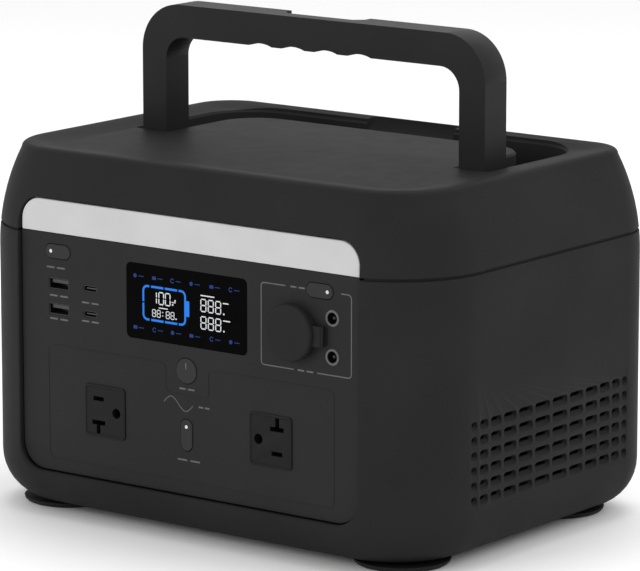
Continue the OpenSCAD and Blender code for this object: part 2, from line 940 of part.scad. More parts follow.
module transformer_core() {
    color([0.2, 0.2, 0.22])
    translate([-22, -1.5, inverter_z + 1.6])
        difference() {
            cube([44, 32, 36]);
            translate([8, -1, 8]) cube([8, 34, 20]);
            translate([28, -1, 8]) cube([8, 34, 20]);
        }
}

module transformer_coil() {
    color("darkorange")
    difference() {
        translate([-13.7, -6, inverter_z + 9.8]) cube([27.4, 41, 19.6]);
        translate([-6.1, -1.6, inverter_z]) cube([12.2, 32.2, 40]);
    }
}

module capacitors() {
    color([0.1, 0.1, 0.3])
    for (x = [-66, -44, 44, 66], y = [8, 24])
        translate([x, y, inverter_z + 1.6]) cylinder(r = 7, h = 30, $fn = 32);
}

// ---------------------------------------------------------------- fans

// One fan on the +X side: a square frame with a bearing tube on four spokes
module fan_frame() {
    translate([fan_x, fan_y, fan_z]) {
        difference() {
            rotate([90, 0, 90])
                linear_extrude(fan_t) rounded_square(fan_side, fan_side, 4);
            translate([-1, 0, 0]) rod_x(fan_bore_r, fan_t + 2);
            for (sy = [-1, 1], sz = [-1, 1])
                translate([-1, sy * (fan_side / 2 - 4), sz * (fan_side / 2 - 4)]) rod_x(2, fan_t + 2);
        }
        difference() {
            union() {
                rod_x(8, 2);
                rod_x(4, 9);
                for (a = [45:90:315]) rotate([a, 0, 0]) translate([0, -1.5, 0]) cube([2, 3, fan_bore_r + 1]);
            }
            translate([-1, 0, 0]) rod_x(fan_shaft_r + bush_clear, 12);
        }
    }
}

module fan_rotor() {
    translate([fan_x, fan_y, fan_z]) {
        difference() {
            translate([2.6, 0, 0]) rod_x(rotor_hub_r, 11);
            translate([2, 0, 0]) rod_x(rotor_hub_r - 1.5, 9.6);
        }
        translate([0.6, 0, 0]) rod_x(fan_shaft_r, 12);
        intersection() {
            translate([2.6, 0, 0]) rod_x(rotor_r, 11);
            for (a = [0:360 / 7:359])
                rotate([a, 0, 0])
                    translate([8, 0, rotor_hub_r - 0.6])
                        rotate([0, 0, 38]) translate([-0.6, -7.5, 0]) cube([1.2, 15, 30]);
        }
    }
}

module fan_frame_right() {
    color([0.1, 0.1, 0.1]) fan_frame();
}

module fan_frame_left() {
    color([0.1, 0.1, 0.1]) mirror([1, 0, 0]) fan_frame();
}

module fan_rotor_right() {
    color([0.08, 0.08, 0.08]) fan_rotor();
}

module fan_rotor_left() {
    color([0.08, 0.08, 0.08]) mirror([1, 0, 0]) fan_rotor();
}

// ---------------------------------------------------------------- rear inputs

module input_panel() {
    color([0.17, 0.17, 0.175])
    difference() {
        union() {
            translate([0, input_y - panel_t, input_z]) plate_xz(input_w, input_h, 6, panel_t);
            translate([0, input_y - panel_t - 1, input_z]) plate_xz(input_w + 8, input_h + 8, 8, 2);
        }
        translate([inlet_x, input_y - 20, input_z]) plate_xz(29.4, 22.4, 3, 30);
        translate([dc_in_x, input_y - 20, input_z]) rod_y(6, 30);
        translate([breaker_x, input_y - 20, input_z]) rod_y(6.5, 30);
    }
}

module ac_inlet() {
    color([0.05, 0.05, 0.05])
    translate([inlet_x, 0, input_z])
        difference() {
            union() {
                translate([0, input_y - 22, 0]) plate_xz(29, 22, 2.8, 22);
                translate([0, input_y, 0]) plate_xz(34, 27, 4, 1.2);
            }
            translate([0, input_y - 17, 0]) plate_xz(24.4, 16.8, 2.5, 20);
            inlet_pins();
        }
}

module inlet_pins() {
    for (p = [[-7, -2], [7, -2], [0, 2]])
        translate([p[0], input_y - 26, p[1]]) plate_xz(2, 4, 0.3, 20);
}

module ac_inlet_pins() {
    color("silver") translate([inlet_x, 0, input_z]) inlet_pins();
}

module dc_inlet() {
    color([0.08, 0.08, 0.08])
    translate([dc_in_x, 0, input_z]) {
        difference() {
            union() {
                translate([0, input_y - 16, 0]) rod_y(5.9, 16);
                translate([0, input_y, 0]) rod_y(8, 1.2);
            }
            translate([0, input_y - 12, 0]) rod_y(4.1, 20);
        }
        translate([0, input_y - 13, 0]) rod_y(0.6, 11);
    }
}

module breaker_body() {
    color([0.08, 0.08, 0.08])
    translate([breaker_x, 0, input_z])
        difference() {
            union() {
                translate([-8, input_y - 30, -8]) cube([16, 26, 16]);
                translate([0, input_y - 5, 0]) rod_y(6.4, 6);
                translate([0, input_y, 0]) rod_y(8.5, 1.5);
            }
            translate([0, input_y - 12, 0]) rod_y(4.4, 30);
        }
}

module breaker_button() {
    color("black")
    translate([breaker_x, 0, input_z]) {
        translate([0, input_y - 8, 0]) rod_y(4.3, 10);
    }
}

lower_shell();
upper_shell();
vent_grille_left();
vent_grille_right();
seam_gasket();
feet();
foot_screws();
shell_screws();
front_panel();
light_bar();
light_board();
display_window();
display_module();
handle();
handle_bushes();
handle_pins();
power_button();
ac_button();
dc_button();
light_button();
tact_switches();
control_board();
board_screws();
usb_a_ports();
usb_c_ports();
car_socket();
car_socket_contact();
car_socket_cap();
cap_anchor();
dc_jacks();
ac_outlet_left();
ac_outlet_right();
outlet_contacts();
battery_cells();
cell_holder_lower();
cell_holder_upper();
cell_links();
battery_board();
mid_plate();
inverter_board();
heat_sinks();
power_transistors();
transformer_core();
transformer_coil();
capacitors();
battery_leads();
fan_frame_left();
fan_frame_right();
fan_rotor_left();
fan_rotor_right();
input_panel();
ac_inlet();
ac_inlet_pins();
dc_inlet();
breaker_body();
breaker_button();
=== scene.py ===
"""Looks of a portable power station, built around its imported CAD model. Metres, the CAD's own frame:
+X to the right of the front panel, +Y to the rear, +Z up."""

import json
import math

import bmesh
import bpy
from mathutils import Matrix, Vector


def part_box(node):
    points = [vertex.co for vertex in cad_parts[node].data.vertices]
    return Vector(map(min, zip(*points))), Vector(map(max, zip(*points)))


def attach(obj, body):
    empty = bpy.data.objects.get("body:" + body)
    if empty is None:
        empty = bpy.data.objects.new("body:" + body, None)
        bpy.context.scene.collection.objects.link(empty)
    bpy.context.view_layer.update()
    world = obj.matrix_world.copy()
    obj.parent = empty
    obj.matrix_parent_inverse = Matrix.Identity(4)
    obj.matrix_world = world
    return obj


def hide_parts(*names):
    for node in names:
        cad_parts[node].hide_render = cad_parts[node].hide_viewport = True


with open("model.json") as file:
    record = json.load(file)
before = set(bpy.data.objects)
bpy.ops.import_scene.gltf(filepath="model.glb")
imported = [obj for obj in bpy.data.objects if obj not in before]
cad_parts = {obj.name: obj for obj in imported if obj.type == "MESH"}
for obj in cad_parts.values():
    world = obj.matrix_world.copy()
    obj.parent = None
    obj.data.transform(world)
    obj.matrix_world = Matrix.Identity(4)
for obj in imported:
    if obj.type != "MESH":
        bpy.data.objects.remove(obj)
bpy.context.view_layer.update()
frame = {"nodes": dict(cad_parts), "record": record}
MM = 0.001


# ---- small helpers ------------------------------------------------------------------------------

def centre(node):
    """Middle of a CAD node's box."""
    low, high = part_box(node)
    return (Vector(low) + Vector(high)) / 2


def aim(obj, target):
    """Turns obj so that its -Z axis points at target."""
    direction = Vector(target) - obj.location
    obj.rotation_euler = direction.to_track_quat("-Z", "Y").to_euler()


# ---- materials ----------------------------------------------------------------------------------

class Look:
    """A principled material with helpers for the few node patterns used here."""

    def __init__(self, name, rough=0.5, metal=0.0, **inputs):
        self.material = bpy.data.materials.new(name)
        self.material.use_nodes = True
        self.nodes = self.material.node_tree.nodes
        self.links = self.material.node_tree.links
        self.shader = self.nodes["Principled BSDF"]
        self.shader.inputs["Roughness"].default_value = rough
        self.shader.inputs["Metallic"].default_value = metal
        for key, value in inputs.items():
            self.shader.inputs[key.replace("_", " ")].default_value = value
        self.coords = self.nodes.new("ShaderNodeTexCoord").outputs["Object"]

    def noise(self, scale, detail=2.0, stretch=None):
        """Noise in object space, stretched along an axis if asked."""
        source = self.coords
        if stretch:
            mapping = self.nodes.new("ShaderNodeMapping")
            mapping.inputs["Scale"].default_value = stretch
            self.links.new(source, mapping.inputs["Vector"])
            source = mapping.outputs["Vector"]
        node = self.nodes.new("ShaderNodeTexNoise")
        node.inputs["Scale"].default_value = scale
        node.inputs["Detail"].default_value = detail
        self.links.new(source, node.inputs["Vector"])
        return node.outputs["Fac"]

    def cells(self, scale):
        """Voronoi cell distance, the pebble pattern of spark-eroded plastic."""
        node = self.nodes.new("ShaderNodeTexVoronoi")
        node.inputs["Scale"].default_value = scale
        self.links.new(self.coords, node.inputs["Vector"])
        return node.outputs["Distance"]

    def colours(self, factor, dark, light):
        """Base colour that runs from dark to light with the factor."""
        ramp = self.nodes.new("ShaderNodeValToRGB")
        ramp.color_ramp.elements[0].position = 0.3
        ramp.color_ramp.elements[1].position = 0.7
        ramp.color_ramp.elements[0].color = (*dark, 1)
        ramp.color_ramp.elements[1].color = (*light, 1)
        self.links.new(factor, ramp.inputs["Fac"])
        self.links.new(ramp.outputs["Color"], self.shader.inputs["Base Color"])

    def roughness(self, factor, low, high):
        """Roughness that runs from low to high with the factor."""
        node = self.nodes.new("ShaderNodeMapRange")
        node.inputs["To Min"].default_value = low
        node.inputs["To Max"].default_value = high
        self.links.new(factor, node.inputs["Value"])
        self.links.new(node.outputs["Result"], self.shader.inputs["Roughness"])

    def bump(self, height, strength, distance):
        """Surface relief from a height, stacked on any bump made before."""
        node = self.nodes.new("ShaderNodeBump")
        node.inputs["Strength"].default_value = strength
        node.inputs["Distance"].default_value = distance
        self.links.new(height, node.inputs["Height"])
        if self.shader.inputs["Normal"].is_linked:
            self.links.new(self.shader.inputs["Normal"].links[0].from_socket, node.inputs["Normal"])
        self.links.new(node.outputs["Normal"], self.shader.inputs["Normal"])


def grey(value, warm=0.0):
    """A near-neutral linear colour."""
    return (value * (1 + warm), value, value * (1 - warm))


def moulded(name, value, rough, grain=1400, relief=0.00006, spread=0.12, gloss=0.12):
    """Moulded plastic: fine eroded grain, faint colour drift and uneven sheen."""
    look = Look(name, rough, Specular_IOR_Level=gloss)
    drift = look.noise(14, 4)
    look.colours(drift, grey(value * (1 - spread)), grey(value * (1 + spread)))
    look.roughness(look.noise(90, 5), rough - 0.06, rough + 0.06)
    look.bump(look.cells(grain), 0.35, relief)
    look.bump(look.noise(grain * 0.6, 3), 0.25, relief)
    return look.material


def metal(name, colour, rough, brushed=(1, 1, 1), scale=300):
    """Metal with fine drawn or turned marks."""
    look = Look(name, rough, 1.0)
    marks = look.noise(scale, 4, brushed)
    look.colours(marks, [c * 0.86 for c in colour], colour)
    look.roughness(marks, rough - 0.08, rough + 0.08)
    look.bump(marks, 0.2, 0.00004)
    return look.material


def coated(name, dark, light, rough, scale=120, coat=0.0, gloss=0.5):
    """Lacquered or printed surface whose colour drifts between two tones."""
    look = Look(name, rough, Specular_IOR_Level=gloss)
    look.shader.inputs["Coat Weight"].default_value = coat
    pattern = look.noise(scale, 4)
    look.colours(pattern, dark, light)
    look.roughness(pattern, rough - 0.05, rough + 0.08)
    look.bump(pattern, 0.15, 0.00005)
    return look.material


def glowing(name, colour, strength):
    """Lit display segment: an even glow with a faint ripple in its colour."""
    look = Look(name, 0.3, Specular_IOR_Level=0.1)
    pattern = look.noise(900, 2)
    look.colours(pattern, [c * 0.05 for c in colour], [c * 0.08 for c in colour])
    look.shader.inputs["Emission Color"].default_value = (*colour, 1)
    look.shader.inputs["Emission Strength"].default_value = strength
    return look.material


def make_materials():
    """A material for each of the record's slots, and more for ports, prints and lit figures."""
    return {
        "case_plastic": moulded("case_plastic", 0.017, 0.58, gloss=0.05),
        "panel_plastic": moulded("panel_plastic", 0.0145, 0.52, grain=1900, relief=0.00004),
        "handle_plastic": moulded("handle_plastic", 0.013, 0.46, grain=1600),
        "button_plastic": moulded("button_plastic", 0.024, 0.42, grain=2200, relief=0.00003),
        "soft_rubber": moulded("soft_rubber", 0.014, 0.66, grain=2600, relief=0.00003),
        "diffuser": coated("diffuser", grey(0.47), grey(0.51), 0.42, scale=40, gloss=0.2),
        "display_glass": coated("display_glass", grey(0.0005), grey(0.0008), 0.12, gloss=0.02),
        "display_panel": coated("display_panel", grey(0.01), grey(0.015), 0.3),
        "screw_steel": metal("screw_steel", grey(0.55), 0.34, (1, 1, 8)),
        "plate_steel": metal("plate_steel", grey(0.48), 0.38, (1, 12, 1)),
        "nickel": metal("nickel", grey(0.62, 0.03), 0.26, (6, 6, 1)),
        "chrome_liner": metal("chrome_liner", grey(0.66), 0.16, (1, 10, 1)),
        "brass_contacts": metal("brass_contacts", (0.62, 0.43, 0.16), 0.28, (1, 8, 1)),
        "black_moulding": moulded("black_moulding", 0.007, 0.40, grain=2400, relief=0.00003),
        "circuit_board": coated("circuit_board", (0.006, 0.05, 0.02), (0.01, 0.085, 0.03), 0.3, 700, 0.3),
        "cell_wrap": coated("cell_wrap", (0.01, 0.09, 0.22), (0.015, 0.13, 0.30), 0.34, 60, 0.3),
        "heat_sink_aluminium": metal("heat_sink_aluminium", grey(0.62), 0.36, (14, 1, 1)),
        "ferrite": coated("ferrite", grey(0.030), grey(0.055), 0.55, 500),
        "copper_winding": metal("copper_winding", (0.72, 0.30, 0.13), 0.30, (1, 1, 20), 400),
        "capacitor_sleeve": coated("capacitor_sleeve", (0.01, 0.012, 0.03), (0.02, 0.024, 0.05), 0.3, 90),
        "lead_insulation": coated("lead_insulation", (0.30, 0.012, 0.010), (0.42, 0.02, 0.015), 0.4, 200),
        "port_steel": metal("port_steel", grey(0.07), 0.42, (6, 6, 1)),
        "print_ink": coated("print_ink", grey(0.085), grey(0.11), 0.5, 400, gloss=0.2),
        "indicator": coated("indicator", grey(0.55), grey(0.65), 0.3, 300),
        "collar_plastic": coated("collar_plastic", grey(0.06), grey(0.09), 0.35, 300),
        "display_white": glowing("display_white", (0.85, 0.87, 0.9), 0.8),
        "display_blue": glowing("display_blue", (0.02, 0.22, 0.85), 0.9),
        "display_dim": glowing("display_dim", (0.03, 0.07, 0.32), 0.5),
        "nylon": coated("nylon", grey(0.55, 0.04), grey(0.66, 0.04), 0.45, 260),
    }


def paint_frame(materials):
    """Gives every CAD node the material of its slot, and the USB shells a darker steel."""
    for row in frame["record"]["subparts"]:
        obj = frame["nodes"][row["node"]]
        obj.data.materials.clear()
        dark_port = row["node"] in ("usb_a_ports", "usb_c_ports")
        obj.data.materials.append(materials["port_steel" if dark_port else row["material_slot"]])


# ---- stage --------------------------------------------------------------------------------------

def make_camera():
    """A long lens from the front right, looking a little down."""
    data = bpy.data.cameras.new("camera")
    data.sensor_width = 36
    data.lens = 251.4
    data.clip_end = 20
    camera = bpy.data.objects.new("camera", data)
    bpy.context.scene.collection.objects.link(camera)
    camera.location = (1.4092, -1.8336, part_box("handle")[1][2] + 0.3164)
    camera.rotation_euler = (math.radians(78.78), 0, math.radians(37.45))
    bpy.context.scene.camera = camera


def area_light(name, place, target, size, power):
    """A soft box at place, aimed at target."""
    data = bpy.data.lights.new(name, "AREA")
    data.energy = power
    data.size = size
    light = bpy.data.objects.new(name, data)
    light.location = place
    bpy.context.scene.collection.objects.link(light)
    aim(light, target)


def make_stage():
    """Pale floor, soft boxes and an even sky."""
    mesh = bpy.data.meshes.new("floor")
    floor = bpy.data.objects.new("floor", mesh)
    sheet = bmesh.new()
    bmesh.ops.create_grid(sheet, x_segments=8, y_segments=8, size=9)
    sheet.to_mesh(mesh)
    sheet.free()
    look = Look("floor", 0.7)
    look.colours(look.noise(3, 2), grey(0.93), grey(0.95))
    mesh.materials.append(look.material)
    bpy.context.scene.collection.objects.link(floor)
    area_light("key", (1.5, 0.3, 1.3), (0.1, 0, 0.1), 1.2, 9)
    area_light("top", (-0.2, 0.5, 1.7), (0, 0, 0.2), 1.3, 11)
    area_light("front", (-0.9, -2.1, 1.0), (0, 0, 0.1), 1.2, 13)
    world = bpy.data.worlds.new("studio")
    world.use_nodes = True
    background = world.node_tree.nodes["Background"]
    background.inputs["Color"].default_value = (1, 1, 1, 1)
    background.inputs["Strength"].default_value = 0.9
    bpy.context.scene.world = world
    bpy.context.scene.view_settings.view_transform = "Standard"


# ---- mesh helpers -------------------------------------------------------------------------------

def new_object(name, mesh_builder, material):
    """Object made from a filled bmesh, with smooth faces and sharp edges over 30 degrees."""
    bmesh.ops.recalc_face_normals(mesh_builder, faces=mesh_builder.faces)
    mesh = bpy.data.meshes.new(name)
    mesh_builder.to_mesh(mesh)
    mesh_builder.free()
    mesh.polygons.foreach_set("use_smooth", [True] * len(mesh.polygons))
    mesh.set_sharp_from_angle(angle=math.radians(30))
    mesh.materials.append(material)
    obj = bpy.data.objects.new(name, mesh)
    bpy.context.scene.collection.objects.link(obj)
    return obj


def piece(name, mesh_builder, slot, body="case", replaces=()):
    """A finished piece that rides on a body, with its slot's material."""
    obj = new_object(name, mesh_builder, MATERIALS[slot])
    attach(obj, body)
    if replaces:
        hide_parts(*replaces)
    return obj


def loft(build, rings, cap_start=True, cap_end=True):
    """Joins rings of equally many points with quads, and closes the ends."""
    rows = [[build.verts.new(point) for point in ring] for ring in rings]
    count = len(rows[0])
    for lower, upper in zip(rows, rows[1:]):
        for i in range(count):
            j = (i + 1) % count
            build.faces.new((lower[i], lower[j], upper[j], upper[i]))
    if cap_start:
        build.faces.new(list(reversed(rows[0])))
    if cap_end:
        build.faces.new(rows[-1])


def rounded(width, height, radius, steps=8):
    """Points of a rounded rectangle about the origin, anticlockwise."""
    radius = min(radius, width / 2 - 1e-6, height / 2 - 1e-6)
    points = []
    for corner, (sx, sy) in enumerate([(1, 1), (-1, 1), (-1, -1), (1, -1)]):
        for i in range(steps + 1):
            angle = math.pi / 2 * (corner + i / steps)
            points.append((sx * (width / 2 - radius) + radius * math.cos(angle),
                           sy * (height / 2 - radius) + radius * math.sin(angle)))
    return points


def standing(points, x, y, z):
    """Flat outline stood up in the XZ plane at (x, y, z), seen from the front."""
    return [(x + u, y, z + v) for u, v in points]


def plate(build, x, z, width, height, radius, y_back, y_front, soft=0.0, steps=6):
    """Standing rounded plate whose front edge is rolled over by soft."""
    rings = [standing(rounded(width, height, radius, steps), x, y_back, z)]
    for k in range(4 if soft else 1):
        angle = math.pi / 2 * k / 3 if soft else 0
        inset = soft * (1 - math.cos(angle))
        y = y_front + soft * (1 - math.sin(angle))
        rings.append(standing(rounded(width - 2 * inset, height - 2 * inset, radius - inset, steps), x, y, z))
    loft(build, rings)


def stroke(build, points, width, y_back, y_front, closed=False):
    """Raised line of constant width along flat points on the panel."""
    count = len(points)
    left, right = [], []
    for i, here in enumerate(points):
        before = points[(i - 1) % count] if closed or i else here
        after = points[(i + 1) % count] if closed or i < count - 1 else here
        way = (Vector(after) - Vector(before)).normalized()
        side = Vector((-way.y, way.x)) * width / 2
        left.append(Vector(here) + side)
        right.append(Vector(here) - side)
    steps = range(count if closed else count - 1)
    verts = [[build.verts.new((p.x, y, p.y)) for p in line]
             for line, y in [(left, y_back), (left, y_front), (right, y_front), (right, y_back)]]
    for i in steps:
        j = (i + 1) % count
        for a, b in zip(verts, verts[1:]):
            build.faces.new((a[i], a[j], b[j], b[i]))


def arc(cx, cz, radius, start, end, steps=6):
    """Points of an arc, angles in degrees."""
    span = [math.radians(start + (end - start) * i / steps) for i in range(steps + 1)]
    return [(cx + radius * math.cos(a), cz + radius * math.sin(a)) for a in span]


def disc(build, x, z, radius, y_back, y_front, steps=24, dome=0.0):
    """Short round stud with a slightly domed front."""
    angles = [2 * math.pi * i / steps for i in range(steps)]
    rings = []
    for r, y in [(radius, y_back), (radius, y_front + dome), (radius * 0.8, y_front + dome * 0.4),
                 (radius * 0.4, y_front)]:
        rings.append([(x + r * math.cos(a), y, z + r * math.sin(a)) for a in angles])
    loft(build, rings)


def soften(node, width):
    """Rounds the hard edges of a CAD node with modifiers, leaving its mesh alone."""
    obj = frame["nodes"][node]
    weld = obj.modifiers.new("weld", "WELD")
    weld.merge_threshold = 0.00001
    flat = obj.modifiers.new("flatten", "DECIMATE")
    flat.decimate_type = "DISSOLVE"
    flat.angle_limit = math.radians(1.5)
    bevel = obj.modifiers.new("soft_edges", "BEVEL")
    bevel.width = width
    bevel.segments = 3
    bevel.limit_method = "ANGLE"
    bevel.angle_limit = math.radians(40)
    bevel.harden_normals = True


def cut(obj, cutter_build, name):
    """Subtracts a closed cutter from obj and keeps the result as obj's mesh."""
    bmesh.ops.recalc_face_normals(cutter_build, faces=cutter_build.faces)
    mesh = bpy.data.meshes.new(name)
    cutter_build.to_mesh(mesh)
    cutter_build.free()
    cutter = bpy.data.objects.new(name, mesh)
    bpy.context.scene.collection.objects.link(cutter)
    boolean = obj.modifiers.new(name, "BOOLEAN")
    boolean.operation = "DIFFERENCE"
    boolean.solver = "EXACT"
    boolean.object = cutter
    keep_result(obj)
    bpy.data.objects.remove(cutter)


def keep_result(obj):
    """Applies obj's modifiers to its mesh."""
    graph = bpy.context.evaluated_depsgraph_get()
    graph.update()
    mesh = bpy.data.meshes.new_from_object(obj.evaluated_get(graph))
    obj.modifiers.clear()
    obj.data = mesh


def finish_shell(obj, bevel_width):
    """Rounds the cut edges and shades the curved walls smoothly."""
    bevel = obj.modifiers.new("soft_edges", "BEVEL")
    bevel.width = bevel_width
    bevel.segments = 2
    bevel.limit_method = "ANGLE"
    bevel.angle_limit = math.radians(38)
    keep_result(obj)
    obj.data.polygons.foreach_set("use_smooth", [True] * len(obj.data.polygons))
    obj.data.set_sharp_from_angle(angle=math.radians(32))


# ---- case ---------------------------------------------------------------------------------------

SHELL_LOW, SHELL_MID = [Vector(v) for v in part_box("lower_shell")]
DECK_LOW, DECK_HIGH = [Vector(v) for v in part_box("upper_shell")]
HALF_W = SHELL_MID.x
HALF_D = SHELL_MID.y
BASE_Z = SHELL_LOW.z
DECK_Z = DECK_HIGH.z
FRONT_Y = -HALF_D
WALL = 3 * MM
OPENING_GAP = 0.7 * MM
LIP = 1.5 * MM
BOTTOM_R = 26 * MM
CROWN_R = 114 * MM
SEAM_Z = SHELL_MID.z + 0.6 * MM
CROWN_Z = SEAM_Z - 11.7 * MM
FRONT_R = 51 * MM
REAR_R = 36 * MM
DISH = 2.2 * MM


def wall_inset(z):
    """How far the outer wall stands in from the widest outline at height z."""
    if z < BASE_Z + BOTTOM_R:
        return BOTTOM_R - math.sqrt(max(0, BOTTOM_R ** 2 - (BASE_Z + BOTTOM_R - z) ** 2))
    if z > CROWN_Z:
        return CROWN_R - math.sqrt(CROWN_R ** 2 - (z - CROWN_Z) ** 2)
    return 0.0


def outline(inset, z):
    """The case's outline at a height: wide front corners, tighter rear ones."""
    steps = 22
    points = []
    for corner, (sx, sy) in enumerate([(1, 1), (-1, 1), (-1, -1), (1, -1)]):
        radius = max((REAR_R if sy > 0 else FRONT_R) - inset, 2 * MM)
        cx = sx * (HALF_W - inset - radius)
        cy = sy * (HALF_D - inset - radius)
        for i in range(steps + 1):
            angle = math.pi / 2 * (corner + i / steps)
            points.append((cx + radius * math.cos(angle), cy + radius * math.sin(angle), z))
    return points


def lower_rings():
    """Outer skin up to the seam, then down the inner skin to the floor."""
    seam = SHELL_MID.z
    heights = [BASE_Z + BOTTOM_R * (1 - math.cos(math.radians(9 * i))) for i in range(11)]
    heights += [CROWN_Z - 75 * MM, CROWN_Z - 40 * MM, CROWN_Z]
    heights += [seam - 7.5 * MM, seam - 3.5 * MM, seam - 0.5 * MM]
    rings = [outline(wall_inset(z), z) for z in heights]
    rings.append(outline(wall_inset(seam) + 0.5 * MM, seam))
    rings.append(outline(wall_inset(seam) + WALL, seam))
    for z in [CROWN_Z, CROWN_Z - 45 * MM, BASE_Z + BOTTOM_R, BASE_Z + 12 * MM, BASE_Z + 5 * MM]:
        rings.append(outline(wall_inset(z) + WALL, z))
    rings.append(outline(BOTTOM_R + 4 * MM, BASE_Z + WALL))
    return rings


def prism(build, points, y_back, flare, flare_depth):
    """Cutter through the front wall whose mouth flares outwards."""
    rings = [(y_back, 0.0), (FRONT_Y + flare_depth, 0.0), (FRONT_Y - LIP, flare * (1 + LIP / flare_depth))]
    loft(build, [standing(points(grow), 0, y, 0) for y, grow in rings])


def panel_mouth(grow):
    """Outline of the front panel's opening, round at the bottom and square at the top."""
    half = PANEL_HALF + OPENING_GAP + grow
    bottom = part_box("front_panel")[0][2] - OPENING_GAP - grow
    radius = 14.7 * MM + grow
    right = arc(half - radius, bottom + radius, radius, -90, 0, 10)
    left = arc(-half + radius, bottom + radius, radius, 180, 270, 10)
    top = SEAM_Z + 18 * MM
    return [(-half, top)] + left + right + [(half, top)]


def bar_mouth(grow):
    """Outline of the light bar's opening, round at the top."""
    top = BAR_TOP + OPENING_GAP + grow
    half = PANEL_HALF + OPENING_GAP + grow
    radius = 12.7 * MM + grow
    right = arc(half - radius, top - radius, radius, 0, 90, 10)
    left = arc(-half + radius, top - radius, radius, 90, 180, 10)
    bottom = SEAM_Z - 7 * MM
    return [(half, bottom)] + right + left + [(-half, bottom)]


VENT_ROWS = 6
VENT_HALF = 6
VENT_PITCH = 7.73 * MM
VENT_H = 5 * MM
VENT_GAP = 2.2 * MM


def vent_width(k):
    """Width of slot k, counted from the middle of the field."""
    return (13.3 - 0.9 * k - 0.16 * k * k) * MM


def vent_offset(k):
    """Middle of slot k, from the middle of the field."""
    if k == 0:
        return (vent_width(0) + VENT_GAP) / 2
    return vent_offset(k - 1) + (vent_width(k) + vent_width(k - 1)) / 2 + VENT_GAP


def scoop(build, side, y, z, width):
    """Cutter for one slot: a full mouth outside, and a low hole at its top inside."""
    mouth = rounded(width, VENT_H, min(1.9 * MM, width / 2), 4)
    hole = rounded(width - 1.2 * MM, VENT_H * 0.52, 1.2 * MM, 4)
    rings = []
    for depth, shape, rise in [(-1.5, mouth, 0.0), (0.1, mouth, 0.0), (1.9, hole, VENT_H * 0.22),
                               (5.0, hole, VENT_H * 0.22)]:
        x = side * (HALF_W - depth * MM)
        rings.append([(x, y + side * u, z + v + rise) for u, v in shape])
    loft(build, rings)


def make_lower_shell():
    """Lower shell with its panel opening, input opening and louvred vents."""
    build = bmesh.new()
    loft(build, lower_rings())
    shell = piece("case_lower", build, "case_plastic",
                  replaces=["lower_shell", "vent_grille_left", "vent_grille_right"])
    cutter = bmesh.new()
    prism(cutter, panel_mouth, FRONT_Y + 12 * MM, 2.2 * MM, 2 * MM)
    cut(shell, cutter, "panel_cutter")
    cutter = bmesh.new()
    grille_low, grille_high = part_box("vent_grille_right")
    middle = (grille_low[1] + grille_high[1]) / 2
    top = grille_high[2] - 2.5 * MM
    for side in (-1, 1):
        for k in range(VENT_HALF):
            for way in (-1, 1):
                for row in range(VENT_ROWS):
                    z = top - VENT_PITCH * row - VENT_H / 2
                    scoop(cutter, side, middle + way * vent_offset(k), z, vent_width(k))
    low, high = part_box("input_panel")
    width = high[0] - low[0] - 7.4 * MM
    height = high[2] - low[2] - 7.4 * MM
    mouth = rounded(width, height, 6.3 * MM)
    z = (low[2] + high[2]) / 2
    loft(cutter, [standing(mouth, 0, y, z) for y in (HALF_D - 12 * MM, HALF_D + 3 * MM)])
    cut(shell, cutter, "opening_cutter")
    finish_shell(shell, 0.35 * MM)


def upper_rings():
    """Outer skin from the seam over the rolled deck edge to the dished deck."""
    seam = DECK_LOW.z
    edge = 3.2 * MM
    roll = edge * 1.15
    rings = [outline(wall_inset(seam) + WALL, seam), outline(wall_inset(seam) + 0.5 * MM, seam)]
    foot = seam + 0.5 * MM
    for k in range(10):
        z = foot + (DECK_Z - edge - foot) * k / 9
        rings.append(outline(wall_inset(z), z))
    start = wall_inset(DECK_Z - edge)
    for k in range(1, 6):
        angle = math.pi / 2 * k / 5
        inset = start + roll * (1 - math.cos(angle))
        rings.append(outline(inset, DECK_Z - edge * (1 - math.sin(angle))))
    last = start + roll
    for k in range(1, 9):
        share = k / 8
        drop = DISH * (3 * share ** 2 - 2 * share ** 3)
        rings.append(outline(last + 19 * MM * share, DECK_Z - drop))
    return rings


def channel_outline(grow, z):
    """Outer outline of the channel around the platform."""
    box_low, box_high = CHANNEL
    outer = []
    radius = 28 * MM
    rear, front = box_high[1] - radius, box_low[1] + MM
    corners = [(1, rear, radius), (-1, rear, radius), (-1, front, MM), (1, front, MM)]
    for corner, (sx, cy, r) in enumerate(corners):
        for i in range(13):
            angle = math.pi / 2 * (corner + i / 12)
            x = sx * (box_high[0] - r) + (r + grow) * math.cos(angle)
            outer.append((x, cy + (r + grow) * math.sin(angle), z))
    return outer


def platform_outline(grow, z):
    """The platform inside the channel, open towards the front deck."""
    back, half, radius = PLATFORM_BACK, PLATFORM_HALF, 24 * MM
    points = [(half + grow, CHANNEL[0][1] - 20 * MM, z)]
    for sx, start in ((1, 0), (-1, 90)):
        for i in range(13):
            angle = math.radians(start + 90 * i / 12)
            points.append((sx * (half - radius) + (radius + grow) * math.cos(angle),
                           back - radius + (radius + grow) * math.sin(angle), z))
    points.append((-half - grow, CHANNEL[0][1] - 20 * MM, z))
    return points


